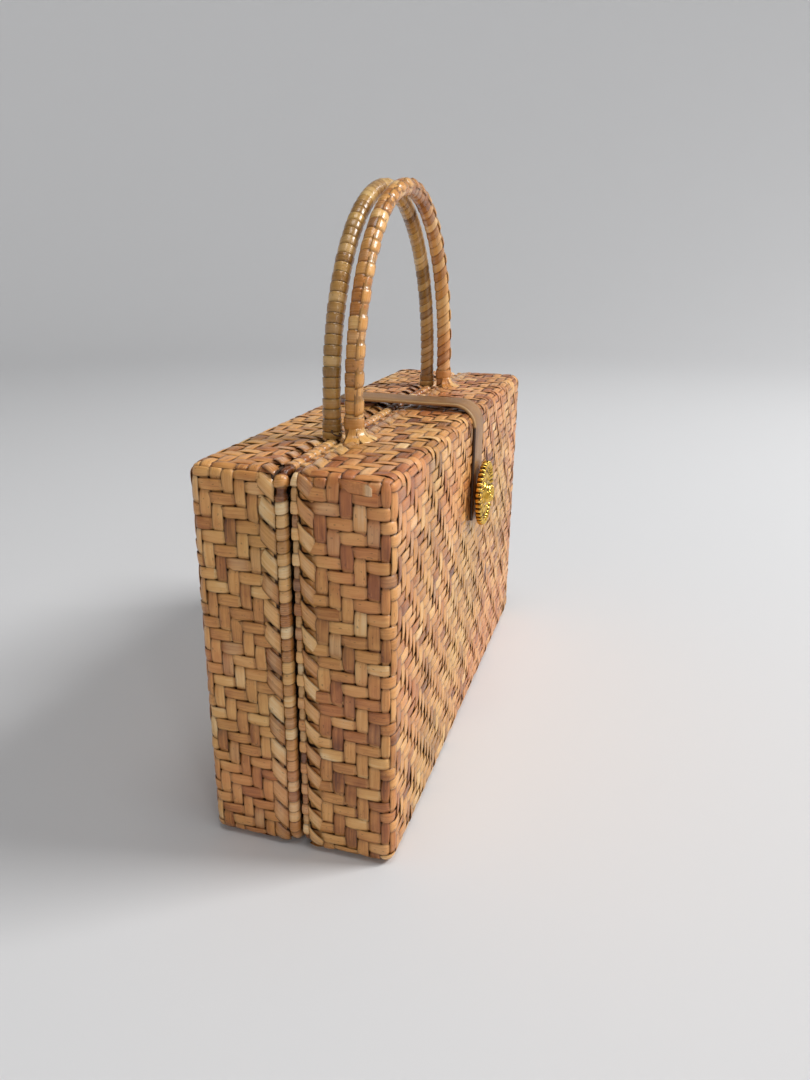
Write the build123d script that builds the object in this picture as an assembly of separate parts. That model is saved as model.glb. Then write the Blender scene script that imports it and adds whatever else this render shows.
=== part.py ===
from build123d import *
import math
import os

os.makedirs("parts", exist_ok=True)

# Woven box handbag, in millimetres: two straw trays that meet at an upright plane,
# hinged at the foot of it, with a wrapped arch handle on each tray and a strap with
# a gilt rosette. X runs along the bag, -Y is the front, Z is up, and Z = 0 is the table.

# Trays
bag_width = 304.0
bag_height = 184.0
half_depth = 45.5
parting_gap = 1.8
wall = 2.4
corner_radius = 9.0
edge_radius = 6.5
round_steps = 3
inner_ease = 2.6
lining_thickness = 0.8

# Weave: each raised float stands for two or three strips that lie side by side
strip_rise = 0.6
columns = 22
rows = 13
weavers = 3
float_gap = 1.3
border_width = 6.5
border_lean = 7.0
border_teeth_long = 16
border_teeth_short = 9
tooth_foot = 0.12
sunk = 0.3

# Small parts, and how far a cut runs past the face it opens
small_sides = 12
overshoot = 1.0

# Lips
rim_width = 5.4
rim_inset = 0.1
band_width = 3.8
band_thickness = 3.2
band_inset = 0.2
band_chamfer = 1.1

# Handles
handle_y = 5.5
handle_half_span = 85.0
handle_centre_x = -2.0
handle_spring_z = 200.0
handle_rise = 98.0
handle_sides = 8
core_radius = 3.0
core_spans = 10
core_tail = 13.0
wrap_radius = 4.4
wrap_step = 0.35
wrap_swell = 0.97
windings = 16
foot_height = 7.0
foot_radius = 4.95
binding_height = 6.6
binding_seat = 4.0
fan_thickness = 0.5
fan_corners = ((4.3, -1.2), (12.5, -3.0), (11.5, 2.6), (4.3, 1.2))
lace_width = 3.2
lace_thickness = 0.5
lace_spans = 12
lace_start = 0.05

# Strap and magnetic catch
strap_x = 2.0
strap_width = 21.0
strap_thickness = 1.8
strap_bend = 12.0
strap_bend_steps = 4
strap_rear_y = 33.0
strap_foot_z = 123.0
catch_y = 23.0
catch_radius = 5.5
catch_gap = 0.3
catch_sink = 1.4
tab_width = 17.0
tab_length = 24.0
tab_thickness = 1.2
tab_ahead = 2.0
magnet_proud = 0.2
disc_thickness = 1.2
disc_radius = 6.1

# Rosette
medallion_z = 137.0
medallion_radius = 18.5
medallion_reach = 12.0
teeth = 24
tooth_depth = 1.4
petals = 12
petal_half_width = 1.9
petal_rise = 1.0
petal_overlap = 0.4
petal_end_gap = 1.2
boss_steps = ((1.0, 0.0, 0.5), (0.8, 0.5, 0.8), (0.45, 0.8, 1.0))
neck_length = 2.4
neck_radius = 5.0
plate_thickness = 3.0
dish_depth = 1.0
dish_radius = 14.8
boss_radius = 7.2
post_radius = 1.5
hole_clearance = 0.02
post_end = 1.2
washer_radius = 4.5
washer_thickness = 0.8

# Hinges
hinge_x = 95.0
hinge_width = 24.0
leaf_reach = 10.6
leaf_thickness = 0.7
leaf_z = 0.1
leaf_clear = 2.4
pivot_z = 1.3
knuckle_radius = 1.2
knuckle_room = 5.6
knuckle_room_height = 4.6
knuckle_room_z = 1.0
knuckle_gap = 0.3
pin_radius = 0.6
pin_clearance = 0.05

# Places that follow from the sizes
mid_z = bag_height / 2
top_z = bag_height - strip_rise
side_x = bag_width / 2 - strip_rise
panel_y = half_depth - strip_rise
flat_x = side_x - edge_radius
flat_z = mid_z - strip_rise - edge_radius
step_x = 2 * flat_x / columns
step_z = 2 * flat_z / rows
lip_near = parting_gap / 2
rim_lip = lip_near + rim_width
band_lip = lip_near + band_width
lining_lip = handle_y + core_radius + 1.0
hollow_inset = strip_rise + wall
hollow_y = panel_y - wall
lining_y = hollow_y - lining_thickness
feet_x = (handle_centre_x - handle_half_span, handle_centre_x + handle_half_span)
magnet_z = top_z - catch_sink
magnet_top = bag_height + tab_thickness + magnet_proud
disc_z = magnet_top + catch_gap
strap_under_z = disc_z + disc_thickness
medallion_face_y = half_depth + medallion_reach
centre_shift = (medallion_face_y - half_depth) / 2


def write(name, shape):
    """Moves a piece back a little, so that the whole bag is centred on the Z axis, and writes it."""
    moved = Pos(0, centre_shift, 0) * shape
    moved.label = name
    export_step(moved, f"parts/{name}.step")


def turned(shape):
    """A front piece turned half a turn about Z becomes the back one."""
    return Rot(0, 0, 180) * shape


def skin(rings):
    """A closed solid with flat faces, through rings of points that have the same count."""
    faces = [Face(Wire.make_polygon(rings[0])), Face(Wire.make_polygon(rings[-1]))]
    for low, high in zip(rings, rings[1:]):
        for n in range(len(low)):
            a, b, c, d = low[n - 1], low[n], high[n], high[n - 1]
            if abs((b - a).cross(d - a).normalized().dot(c - a)) < 1e-6:
                faces.append(Face(Wire.make_polygon([a, b, c, d])))
            else:
                faces.append(Face(Wire.make_polygon([a, b, c])))
                faces.append(Face(Wire.make_polygon([a, c, d])))
    return Solid(Shell(faces))


def outline(y, inset):
    """The bag's outline seen from the front, at a distance forward, drawn in by an inset."""
    radius = corner_radius - inset
    across = bag_width / 2 - corner_radius
    up = mid_z - corner_radius
    points = []
    for quarter, (sign_x, sign_z) in enumerate([(1, 1), (-1, 1), (-1, -1), (1, -1)]):
        for step in range(round_steps + 1):
            turn = math.radians(90 * (quarter + step / round_steps))
            x = sign_x * across + radius * math.cos(turn)
            z = mid_z + sign_z * up + radius * math.sin(turn)
            points.append(Vector(x, -y, z))
    return points


def through(steps):
    """A solid through outlines, each given by its distance forward and its inset."""
    return skin([outline(y, inset) for y, inset in steps])


def tray_block(lip):
    """The outside of the front tray as a solid block, its big panel rounded over into its sides."""
    steps = [(lip, strip_rise)]
    for step in range(round_steps + 1):
        turn = math.radians(90 * step / round_steps)
        y = panel_y - edge_radius * (1 - math.sin(turn))
        steps.append((y, strip_rise + edge_radius * (1 - math.cos(turn))))
    return through(steps)


def hollow(inset, lip, depth):
    """The space inside a tray, with its far edges eased."""
    return through([(lip, inset), (depth - inner_ease, inset), (depth, inset + inner_ease)])


def crosses_over(column, row):
    """Two-over two-under twill, seen from outside: one row down moves a float one column right."""
    return (column - row) % 4 < 2


def raised_runs(count, is_raised):
    """Start and length of each run of raised cells on one line of the weave."""
    runs = []
    for cell in range(count):
        if is_raised(cell) and (cell == 0 or not is_raised(cell - 1)):
            longer = is_raised(cell + 1) and cell + 1 < count
            runs.append((cell, 2 if longer else 1))
    return runs


def floats(plane, places):
    """Raised floats on one wall, each given by its centre and size in that wall's plane."""
    shapes = [Pos(u, v) * Rectangle(length, width) for u, v, length, width in places]
    return extrude(plane * Sketch(children=shapes), amount=strip_rise)


def weave(lip):
    """The raised floats on the five walls of a front tray."""
    step_y = (half_depth - edge_radius - strip_rise - lip - border_width) / weavers
    panel, top, base, left, right = [], [], [], [], []
    for row in range(rows):
        v = flat_z - (row + 0.5) * step_z
        for cell, cells in raised_runs(columns, lambda c: crosses_over(c, row)):
            u = (cell + cells / 2) * step_x - flat_x
            panel.append((u, v, cells * step_x - float_gap, step_z - float_gap))
    for line in range(weavers):
        y = half_depth - edge_radius - strip_rise - (line + 0.5) * step_y
        for wall_floats, v, row in ((top, -y, -1 - line), (base, y, rows + line)):
            for cell, cells in raised_runs(columns, lambda c: crosses_over(c, row)):
                u = (cell + cells / 2) * step_x - flat_x
                wall_floats.append((u, v, cells * step_x - float_gap, step_y - float_gap))
        for wall_floats, u, column in ((left, y, -1 - line), (right, -y, columns + line)):
            for cell, cells in raised_runs(rows, lambda r: not crosses_over(column, r)):
                v = flat_z - (cell + cells / 2) * step_z
                wall_floats.append((u, v, step_y - float_gap, cells * step_z - float_gap))
    return [
        floats(Plane((0, -panel_y, mid_z), x_dir=(1, 0, 0), z_dir=(0, -1, 0)), panel),
        floats(Plane((0, 0, top_z), x_dir=(1, 0, 0), z_dir=(0, 0, 1)), top),
        floats(Plane((0, 0, strip_rise), x_dir=(1, 0, 0), z_dir=(0, 0, -1)), base),
        floats(Plane((-side_x, 0, mid_z), x_dir=(0, -1, 0), z_dir=(-1, 0, 0)), left),
        floats(Plane((side_x, 0, mid_z), x_dir=(0, 1, 0), z_dir=(1, 0, 0)), right),
    ]


def border_profile(half_length, count):
    """A saw-toothed section of overlapped strips, along X with its teeth towards +Y."""
    pitch = 2 * half_length / count
    points = [(-half_length, -sunk)]
    for tooth in range(count):
        start = tooth * pitch - half_length
        points += [(start, tooth_foot), (start + pitch, strip_rise)]
    points.append((half_length, -sunk))
    return make_face(Polyline(*points, close=True))


def border(lip):
    """The slanted strips along the lip of a front tray, leaning back against the clock."""
    slant = Vector(-border_lean, sunk - border_width, 0)
    section_plane = Plane((0, -lip - sunk / 2, 0), x_dir=(1, 0, 0), z_dir=(0, -1, 0))
    runs = []
    for angle, half_length, count, distance in (
        (0, flat_x, border_teeth_long, mid_z - strip_rise),
        (90, flat_z, border_teeth_short, side_x),
        (180, flat_x, border_teeth_long, mid_z - strip_rise),
        (270, flat_z, border_teeth_short, side_x),
    ):
        teeth_face = border_profile(half_length - border_lean / 2, count)
        section = section_plane * (Pos(border_lean / 2, distance) * teeth_face)
        run = extrude(section, amount=slant.length, dir=slant.normalized())
        runs.append(Pos(0, 0, mid_z) * (Rot(0, angle, 0) * run))
    return runs


def arch(y):
    """Centreline of a handle: two short legs under half an ellipse."""
    legs = [
        Line((feet_x[0], top_z), (feet_x[0], handle_spring_z)),
        EllipticalCenterArc(
            (handle_centre_x, handle_spring_z), handle_half_span, handle_rise, 180, arc_size=-180
        ),
        Line((feet_x[1], handle_spring_z), (feet_x[1], top_z)),
    ]
    return Plane.XZ.offset(-y) * Wire(legs)


def ring_at(path, share, radius, along=0):
    """An eight-sided ring square to the handle, with a flat towards the front."""
    tangent = path.tangent_at(share)
    sideways = Vector(0, 1, 0)
    outward = tangent.cross(sideways).normalized()
    centre = path.position_at(share) + tangent * along
    points = []
    for n in range(handle_sides):
        turn = 2 * math.pi * (n + 0.5) / handle_sides
        reach = sideways * (radius * math.cos(turn)) + outward * (radius * math.sin(turn))
        points.append(centre + reach)
    return points


def handle_core(path):
    """The cane inside a handle; its tails go down through the top wall."""
    rings = [ring_at(path, 0, core_radius, -core_tail)]
    rings += [ring_at(path, n / core_spans, core_radius) for n in range(core_spans + 1)]
    rings.append(ring_at(path, 1, core_radius, core_tail))
    return skin(rings)


def handle_wrap(path, core):
    """The straw wound round the cane: every winding swells and then steps down to the next."""
    foot = foot_height / path.length
    share = (1 - 2 * foot) / windings
    low = wrap_radius - wrap_step
    rings = [ring_at(path, 0, low)]
    for n in range(windings):
        rings.append(ring_at(path, foot + n * share, low))
        rings.append(ring_at(path, foot + (n + wrap_swell) * share, wrap_radius))
    rings.append(ring_at(path, 1 - foot, low))
    rings.append(ring_at(path, 1, low))
    return skin(rings) - core


def handle_binding(path, share, upwards):
    """The binding round one foot of a handle."""
    low = wrap_radius - wrap_step
    outer = skin([ring_at(path, share, foot_radius), ring_at(path, share, foot_radius, upwards)])
    return outer - skin([ring_at(path, share, low), ring_at(path, share, low, upwards)])


def foot_fan(foot_x, angles):
    """Strip ends spread out on the top of the bag from the foot of the front handle."""
    strip = make_face(Polyline(*fan_corners, close=True))
    place = Pos(foot_x, -handle_y, bag_height)
    return [extrude(place * Rot(0, 0, angle) * strip, amount=fan_thickness) for angle in angles]


def handle_lace(path):
    """The flat strip laced along the front of the front handle."""
    upper, lower = [], []
    for n in range(lace_spans + 1):
        share = lace_start + (1 - 2 * lace_start) * n / lace_spans
        across = path.tangent_at(share).cross(Vector(0, 1, 0)).normalized() * (lace_width / 2)
        upper.append(path.position_at(share) + across)
        lower.append(path.position_at(share) - across)
    face = make_face(Polyline(*upper, *reversed(lower), close=True))
    forward = wrap_radius * math.cos(math.pi / handle_sides)
    return extrude(Pos(0, -forward, 0) * face, amount=lace_thickness, dir=(0, -1, 0))


def prism(x, y, z, radius, height, sides):
    """A small upright prism standing on (x, y, z)."""
    return Pos(x, y, z) * extrude(RegularPolygon(radius, sides, rotation=180 / sides), amount=height)


def rod_along_x(start, end, radius):
    """An eight-sided rod on the hinge line."""
    section = Pos(0, pivot_z) * RegularPolygon(radius, 8, rotation=22.5)
    return extrude(Plane.YZ.offset(start) * section, amount=end - start)


def facing(distance):
    """The plane that faces the front, centred on the rosette, at a distance forward."""
    return Plane((strap_x, -distance, medallion_z), x_dir=(1, 0, 0), z_dir=(0, -1, 0))


def stud(radius, near, far, sides, taper=0):
    """A prism that faces the front, centred on the rosette, between two distances forward."""
    section = RegularPolygon(radius, sides, rotation=180 / sides)
    return extrude(facing(near) * section, amount=far - near, taper=taper)


def lip_cuts(y, core):
    """Room for the cane, its bindings and the hinges on one half, whose handle is at y."""
    side = 1 if y > 0 else -1
    cuts = [core]
    for foot_x in feet_x:
        cuts.append(prism(foot_x, y, top_z, foot_radius, binding_seat, handle_sides))
    for x in (-hinge_x, hinge_x):
        pocket = 2 * (leaf_thickness + leaf_z)
        cuts.append(Pos(x, side * leaf_reach / 2, 0) * Box(hinge_width, leaf_reach, pocket))
        cuts.append(Pos(x, 0, knuckle_room_z) * Box(hinge_width + 1, knuckle_room, knuckle_room_height))
    return cuts


def leaf_plate(x_from, x_to, y_from, y_to):
    """A flat piece of a back hinge leaf, let into the base."""
    middle = Pos((x_from + x_to) / 2, (y_from + y_to) / 2, leaf_z + leaf_thickness / 2)
    return middle * Box(x_to - x_from, y_to - y_from, leaf_thickness)


def hinge_leaf(x, knuckles, side):
    """One leaf of a butt hinge; side is 1 at the back and -1 at the front."""
    leaf = leaf_plate(x - hinge_width / 2, x + hinge_width / 2, leaf_clear, leaf_reach)
    for start, end in knuckles:
        leaf += leaf_plate(start, end, 0, leaf_clear) + rod_along_x(start, end, knuckle_radius)
    bore_radius = (pin_radius + pin_clearance) / math.cos(math.pi / 8)
    leaf -= rod_along_x(x - hinge_width, x + hinge_width, bore_radius)
    return leaf if side > 0 else mirror(leaf, Plane.XZ)


def strap_side():
    """The strap seen from the end: over the top, round one bend and down the front."""
    bend_y = strap_bend + strap_thickness / 2 - half_depth - strap_thickness
    bend_z = strap_under_z + strap_thickness / 2 - strap_bend
    edges = []
    for radius in (strap_bend - strap_thickness / 2, strap_bend + strap_thickness / 2):
        edge = [(strap_rear_y, bend_z + radius)]
        for step in range(strap_bend_steps + 1):
            turn = math.radians(90 + 90 * step / strap_bend_steps)
            edge.append((bend_y + radius * math.cos(turn), bend_z + radius * math.sin(turn)))
        edge.append((bend_y - radius, strap_foot_z))
        edges.append(edge)
    return make_face(Polyline(*edges[0], *reversed(edges[1]), close=True))


def strap():
    """A flat leather strap with its rear corners cut off."""
    body = extrude(Plane.YZ.offset(strap_x) * strap_side(), amount=strap_width / 2, both=True)
    rear = body.faces().sort_by(Axis.Y)[-1].edges().filter_by(Axis.Z)
    return chamfer(rear, strap_width / 4)


def rosette():
    """A cast medallion: toothed rim, petals in a dish and a domed boss, on a short neck."""
    back = half_depth + strap_thickness
    plate_y = back + neck_length
    front_y = plate_y + plate_thickness
    face_y = front_y - dish_depth
    rim = []
    for n in range(2 * teeth):
        radius = medallion_radius - (tooth_depth if n % 2 else 0)
        turn = math.pi * n / teeth
        rim.append((radius * math.cos(turn), radius * math.sin(turn)))
    plate = extrude(facing(plate_y) * make_face(Polyline(*rim, close=True)), amount=plate_thickness)
    inner = boss_radius - petal_overlap
    outer = dish_radius - petal_end_gap
    middle = (inner + outer) / 2
    corners = ((inner, 0), (middle, -petal_half_width), (outer, 0), (middle, petal_half_width))
    petal = make_face(Polyline(*corners, close=True))
    ring = [
        extrude(facing(face_y) * (Rot(0, 0, 360 * n / petals) * petal), amount=petal_rise)
        for n in range(petals)
    ]
    rise = medallion_face_y - face_y
    dome = [
        stud(boss_radius * width, face_y + rise * low, face_y + rise * high, small_sides)
        for width, low, high in boss_steps
    ]
    neck = stud(neck_radius, back, plate_y, small_sides)
    return plate - stud(dish_radius, face_y, front_y + overshoot, teeth) + ring + dome + neck


def lining():
    """Cloth over card, fitted against the inside of a tray."""
    inside = hollow(hollow_inset + lining_thickness, lining_lip, lining_y)
    return hollow(hollow_inset, lining_lip, hollow_y) - inside


# Handles, first because the trays are bored for their canes
back_path = arch(handle_y)
front_path = arch(-handle_y)
back_core = handle_core(back_path)
front_core = handle_core(front_path)
write("back_handle_core", back_core)
write("front_handle_core", front_core)
write("back_handle_wrap", handle_wrap(back_path, back_core))
write("front_handle_wrap", handle_wrap(front_path, front_core))
write("front_handle_lacing", handle_lace(front_path))
for name, share, upwards, foot_x, angles in (
    ("left", 0, binding_height, feet_x[0], (200, 245, 290)),
    ("right", 1, -binding_height, feet_x[1], (340, 295, 250)),
):
    write(f"back_handle_binding_{name}", handle_binding(back_path, share, upwards))
    front_binding = handle_binding(front_path, share, upwards) + foot_fan(foot_x, angles)
    write(f"front_handle_binding_{name}", front_binding)

# Front half
post_hole = stud(post_radius + hole_clearance, 0, medallion_face_y, handle_sides)
front_shell = tray_block(band_lip) - hollow(hollow_inset, band_lip - overshoot, hollow_y)
front_shell += weave(band_lip) + border(band_lip)
write("front_shell", front_shell - (lip_cuts(-handle_y, front_core) + [post_hole]))

band_inner = band_inset + band_thickness
band_outside = [(lip_near, band_chamfer), (lip_near + band_chamfer, 0), (band_lip, 0)]
front_band = through([(y, band_inset + drawn_in) for y, drawn_in in band_outside])
front_band -= through([(y, band_inner - drawn_in) for y, drawn_in in band_outside])
write("front_lip_band", front_band - lip_cuts(-handle_y, front_core))
write("front_lining", lining() - post_hole)

# Back half: the same tray turned about, with a wound cord for its lip
hole_height = disc_z - magnet_z
magnet_hole = prism(strap_x, catch_y, magnet_z, catch_radius + hole_clearance, hole_height, small_sides)
back_shell = tray_block(rim_lip) - hollow(hollow_inset, rim_lip - overshoot, hollow_y)
back_shell += weave(rim_lip) + border(rim_lip)
write("back_shell", turned(back_shell) - (lip_cuts(handle_y, back_core) + [magnet_hole]))

rim_radius = rim_width / 2
rim_flat = rim_radius * math.tan(math.pi / 8)
rim_middle = rim_inset + rim_radius
rim_section = [
    (lip_near, rim_flat),
    (lip_near + rim_radius - rim_flat, rim_radius),
    (lip_near + rim_radius + rim_flat, rim_radius),
    (rim_lip, rim_flat),
]
rim_cord = through([(y, rim_middle - reach) for y, reach in rim_section])
rim_cord -= through([(y, rim_middle + reach) for y, reach in rim_section])
write("back_rim_cord", turned(rim_cord) - lip_cuts(handle_y, back_core))
write("back_lining", turned(lining()))

# Hinges: two knuckles on each back leaf and one on each front leaf
knuckle_length = (hinge_width - 2 * knuckle_gap) / 3
for name, x in (("left", -hinge_x), ("right", hinge_x)):
    middle = (x - knuckle_length / 2, x + knuckle_length / 2)
    outer = [
        (x - hinge_width / 2, middle[0] - knuckle_gap),
        (middle[1] + knuckle_gap, x + hinge_width / 2),
    ]
    write(f"back_hinge_leaf_{name}", hinge_leaf(x, outer, 1))
    write(f"front_hinge_leaf_{name}", hinge_leaf(x, [middle], -1))
    write(f"hinge_pin_{name}", rod_along_x(x - hinge_width / 2, x + hinge_width / 2, pin_radius))

# Strap and its magnetic catch
write("strap", strap() - post_hole)
tab_outline = chamfer(Rectangle(tab_width, tab_length).vertices(), tab_width / 4)
tab = Pos(strap_x, catch_y + tab_ahead, bag_height) * extrude(tab_outline, amount=tab_thickness)
write("catch_tab", tab - magnet_hole)
magnet_height = magnet_top - magnet_z
write("catch_magnet", prism(strap_x, catch_y, magnet_z, catch_radius, magnet_height, small_sides))
write("strap_catch_disc", prism(strap_x, catch_y, disc_z, disc_radius, disc_thickness, small_sides))

# Rosette, and the post that holds it through strap, tray and lining
write("medallion", rosette())
post = stud(post_radius, lining_y - post_end, half_depth + strap_thickness, handle_sides)
write("medallion_post", post)
washer = stud(washer_radius, lining_y - washer_thickness, lining_y, small_sides)
write("medallion_washer", washer - post_hole)
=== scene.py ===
import math

import bmesh
import bpy
from mathutils import Matrix, Vector


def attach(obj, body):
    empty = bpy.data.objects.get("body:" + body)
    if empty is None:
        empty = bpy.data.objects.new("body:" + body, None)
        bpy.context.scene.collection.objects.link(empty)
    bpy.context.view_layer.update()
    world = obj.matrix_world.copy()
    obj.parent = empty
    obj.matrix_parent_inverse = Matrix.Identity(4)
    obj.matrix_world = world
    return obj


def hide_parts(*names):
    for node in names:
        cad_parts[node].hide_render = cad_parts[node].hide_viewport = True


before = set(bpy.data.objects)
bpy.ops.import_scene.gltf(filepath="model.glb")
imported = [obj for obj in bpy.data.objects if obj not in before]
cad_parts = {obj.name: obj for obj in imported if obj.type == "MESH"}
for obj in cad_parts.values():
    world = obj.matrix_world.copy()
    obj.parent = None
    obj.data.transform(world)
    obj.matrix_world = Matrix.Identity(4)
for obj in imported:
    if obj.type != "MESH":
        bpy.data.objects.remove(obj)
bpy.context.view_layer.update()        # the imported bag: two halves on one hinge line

mm = 0.001

bag = {
    "width": 304 * mm,
    "height": 184 * mm,
    "depth": 45.5 * mm,       # of one half
    "rounding": 5.8 * mm,     # of the edges
    "corner": 9 * mm,         # radius of the outline's corners
    "leastCorner": 1.5 * mm,  # of an outline that is set in
    "partingY": 6.0 * mm,     # the two halves meet on this plane
    "border": 6.5 * mm,
    "columns": 52,
    "rows": 32,
    "weavers": 6,
    "feetX": (-87 * mm, 83 * mm),
    "hingesX": (-95 * mm, 95 * mm),
    "hingeRoom": 12.6 * mm,   # left bare on each side of a hinge's middle
}
halves = {
    "front": {"body": "front_half", "turn": 1.0, "lip": 4.7 * mm},
    "back": {"body": "back_half", "turn": -1.0, "lip": 6.3 * mm},
}
columnStep = bag["width"] / bag["columns"]
rowStep = bag["height"] / bag["rows"]
stakes = 2 * (bag["columns"] + bag["rows"])
fullTurn = 2 * math.pi


class Field:
    # sums written as sums, for geometry and shader trees alike
    def __init__(self, tree, socket):
        self.tree = tree
        self.socket = socket

    def calc(self, operation, *others):
        node = self.tree.nodes.new("ShaderNodeMath")
        node.operation = operation
        for slot, term in zip(node.inputs, (self, *others)):
            put(self.tree, term, slot)
        return Field(self.tree, node.outputs[0])

    def __add__(self, other):
        return self.calc("ADD", other)

    def __sub__(self, other):
        return self.calc("SUBTRACT", other)

    def __mul__(self, other):
        return self.calc("MULTIPLY", other)

    def __truediv__(self, other):
        return self.calc("DIVIDE", other)

    def __mod__(self, other):
        return self.calc("FLOORED_MODULO", other)

    def __neg__(self):
        return self.calc("MULTIPLY", -1.0)

    def __radd__(self, other):
        return self + other

    def __rmul__(self, other):
        return self * other

    def __rsub__(self, other):
        return -self + other

    def size(self):
        return self.calc("ABSOLUTE")

    def within(self, low, high):
        return self.calc("MAXIMUM", low).calc("MINIMUM", high)

    def eased(self, low, high):
        t = ((self - low) / (high - low)).within(0.0, 1.0)
        return t * t * (3.0 - 2.0 * t)


def put(tree, value, socket):
    if isinstance(value, Field):
        value = value.socket
    if isinstance(value, bpy.types.NodeSocket):
        tree.links.new(value, socket)
    else:
        socket.default_value = value


def add(tree, kind, inputs=None, **settings):
    node = tree.nodes.new(kind)
    for name, value in settings.items():
        setattr(node, name, value)
    for name, value in (inputs or {}).items():
        put(tree, value, node.inputs[name])
    return node


def splitXyz(tree, vector):
    out = add(tree, "ShaderNodeSeparateXYZ", {"Vector": vector}).outputs
    return [Field(tree, out[axis]) for axis in "XYZ"]


def joinXyz(tree, x, y, z):
    return add(tree, "ShaderNodeCombineXYZ", {"X": x, "Y": y, "Z": z}).outputs[0]


def vectorMath(tree, operation, a, b=None, scale=None):
    node = tree.nodes.new("ShaderNodeVectorMath")
    node.operation = operation
    put(tree, a, node.inputs[0])
    if b is not None:
        put(tree, b, node.inputs[1])
    if scale is not None:
        put(tree, scale, node.inputs["Scale"])
    return node.outputs["Vector"]


def startTree(name, inputs):
    tree = bpy.data.node_groups.new(name, "GeometryNodeTree")
    kinds = {int: "NodeSocketInt", float: "NodeSocketFloat"}
    sockets = {label: kinds[type(value)] for label, value in inputs.items()}
    sockets = {"Geometry": "NodeSocketGeometry", **sockets, "Material": "NodeSocketMaterial"}
    for label, kind in sockets.items():
        socket = tree.interface.new_socket(label, in_out="INPUT", socket_type=kind)
        if label in inputs:
            socket.default_value = inputs[label]
    tree.interface.new_socket("Geometry", in_out="OUTPUT", socket_type="NodeSocketGeometry")
    source = tree.nodes.new("NodeGroupInput")
    given = {label: Field(tree, source.outputs[label]) for label in inputs}
    given["Geometry"] = source.outputs["Geometry"]
    given["Material"] = source.outputs["Material"]
    return tree, given


def endTree(tree, geometry, given):
    merged = add(tree, "GeometryNodeMergeByDistance", {"Geometry": geometry, "Distance": 0.002 * mm})
    real = add(tree, "GeometryNodeRealizeInstances", {"Geometry": merged.outputs[0]})
    inputs = {"Geometry": real.outputs[0], "Material": given["Material"]}
    painted = add(tree, "GeometryNodeSetMaterial", inputs)
    out = tree.nodes.new("NodeGroupOutput")
    tree.links.new(painted.outputs[0], out.inputs["Geometry"])


def store(tree, geometry, domain="POINT", **values):
    # keeps each value on the geometry under its own name
    for name, value in values.items():
        inputs = {"Geometry": geometry, "Name": name, "Value": value}
        node = add(tree, "GeometryNodeStoreNamedAttribute", inputs, data_type="FLOAT", domain=domain)
        geometry = node.outputs[0]
    return geometry


def named(tree, name):
    node = add(tree, "GeometryNodeInputNamedAttribute", {"Name": name}, data_type="FLOAT")
    return Field(tree, node.outputs["Attribute"])


def chance(tree, low, high, which, seed):
    node = add(tree, "FunctionNodeRandomValue", data_type="FLOAT")
    sockets = {s.name: s for s in node.inputs if s.enabled}
    for name, value in (("Min", low), ("Max", high), ("ID", which), ("Seed", seed)):
        put(tree, value, sockets[name])
    return Field(tree, [s for s in node.outputs if s.enabled][0])


def gridOfStrips(tree, strips, along, sides):
    # strips side by side, each a grid: x counts along it and y counts round its section
    # the first and last rows fall on a point in the end's own plane, so that ends are flat and closed
    size = {"Size X": along + 2, "Size Y": sides, "Vertices X": along + 3, "Vertices Y": sides + 1}
    grid = add(tree, "GeometryNodeMeshGrid", size)
    line = add(tree, "GeometryNodeMeshLine", {"Count": strips, "Offset": (0.0, 0.0, 0.0)})
    inputs = {"Points": line.outputs[0], "Instance": grid.outputs[0]}
    copies = add(tree, "GeometryNodeInstanceOnPoints", inputs)
    index = add(tree, "GeometryNodeInputIndex").outputs[0]
    numbered = store(tree, copies.outputs[0], "INSTANCE", strip=index)
    real = add(tree, "GeometryNodeRealizeInstances", {"Geometry": numbered}).outputs[0]
    x, y, _ = splitXyz(tree, add(tree, "GeometryNodeInputPosition").outputs[0])
    row = x + (along + 2) / 2
    real = store(tree, real, count=(row - 1.0).within(0.0, along))
    real = store(tree, real, open=row.calc("GREATER_THAN", 0.5) * row.calc("LESS_THAN", along + 1.5))
    real = store(tree, real, round=y + sides / 2)
    return [real] + [named(tree, name) for name in ("count", "open", "round", "strip")]


def ovalSection(turn, sides, isOpen):
    # a place on a strip's flat oval section: across it and above it, each from -1 to 1
    angle = turn * (fullTurn / sides) + math.pi / sides
    return (angle.calc("COSINE") * 1.25).within(-1.0, 1.0) * isOpen, angle.calc("SINE") * isOpen


def place(tree, geometry, position):
    return add(tree, "GeometryNodeSetPosition", {"Geometry": geometry, "Position": position}).outputs[0]


def settle(tree, x, depth, z, height, given):
    # a point on the sharp-edged tray goes to the rounded one, raised by a height
    r = bag["rounding"]
    lowest = (r - bag["width"] / 2, -1.0, r)
    highest = (bag["width"] / 2 - r, bag["depth"] - r, bag["height"] - r)
    sharp = joinXyz(tree, x, depth, z)
    core = vectorMath(tree, "MAXIMUM", vectorMath(tree, "MINIMUM", sharp, highest), lowest)
    outwards = vectorMath(tree, "NORMALIZE", vectorMath(tree, "SUBTRACT", sharp, core))
    rounded = vectorMath(tree, "ADD", core, vectorMath(tree, "SCALE", outwards, scale=height + r))
    px, py, pz = splitXyz(tree, rounded)
    turn = given["Turn"]
    return joinXyz(tree, px * turn, bag["partingY"] - py * turn, pz.calc("MAXIMUM", 0.0))


def perimeterPoint(p):
    # a count of stakes round the tray, clockwise from its top left, as a point on its outline
    columns, rows = bag["columns"], bag["rows"]
    x = (p.within(0, columns) - (p - (columns + rows)).within(0, columns)) * columnStep - bag["width"] / 2
    z = ((p - (2 * columns + rows)).within(0, rows) - (p - columns).within(0, rows)) * rowStep + bag["height"]
    return x, z


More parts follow.
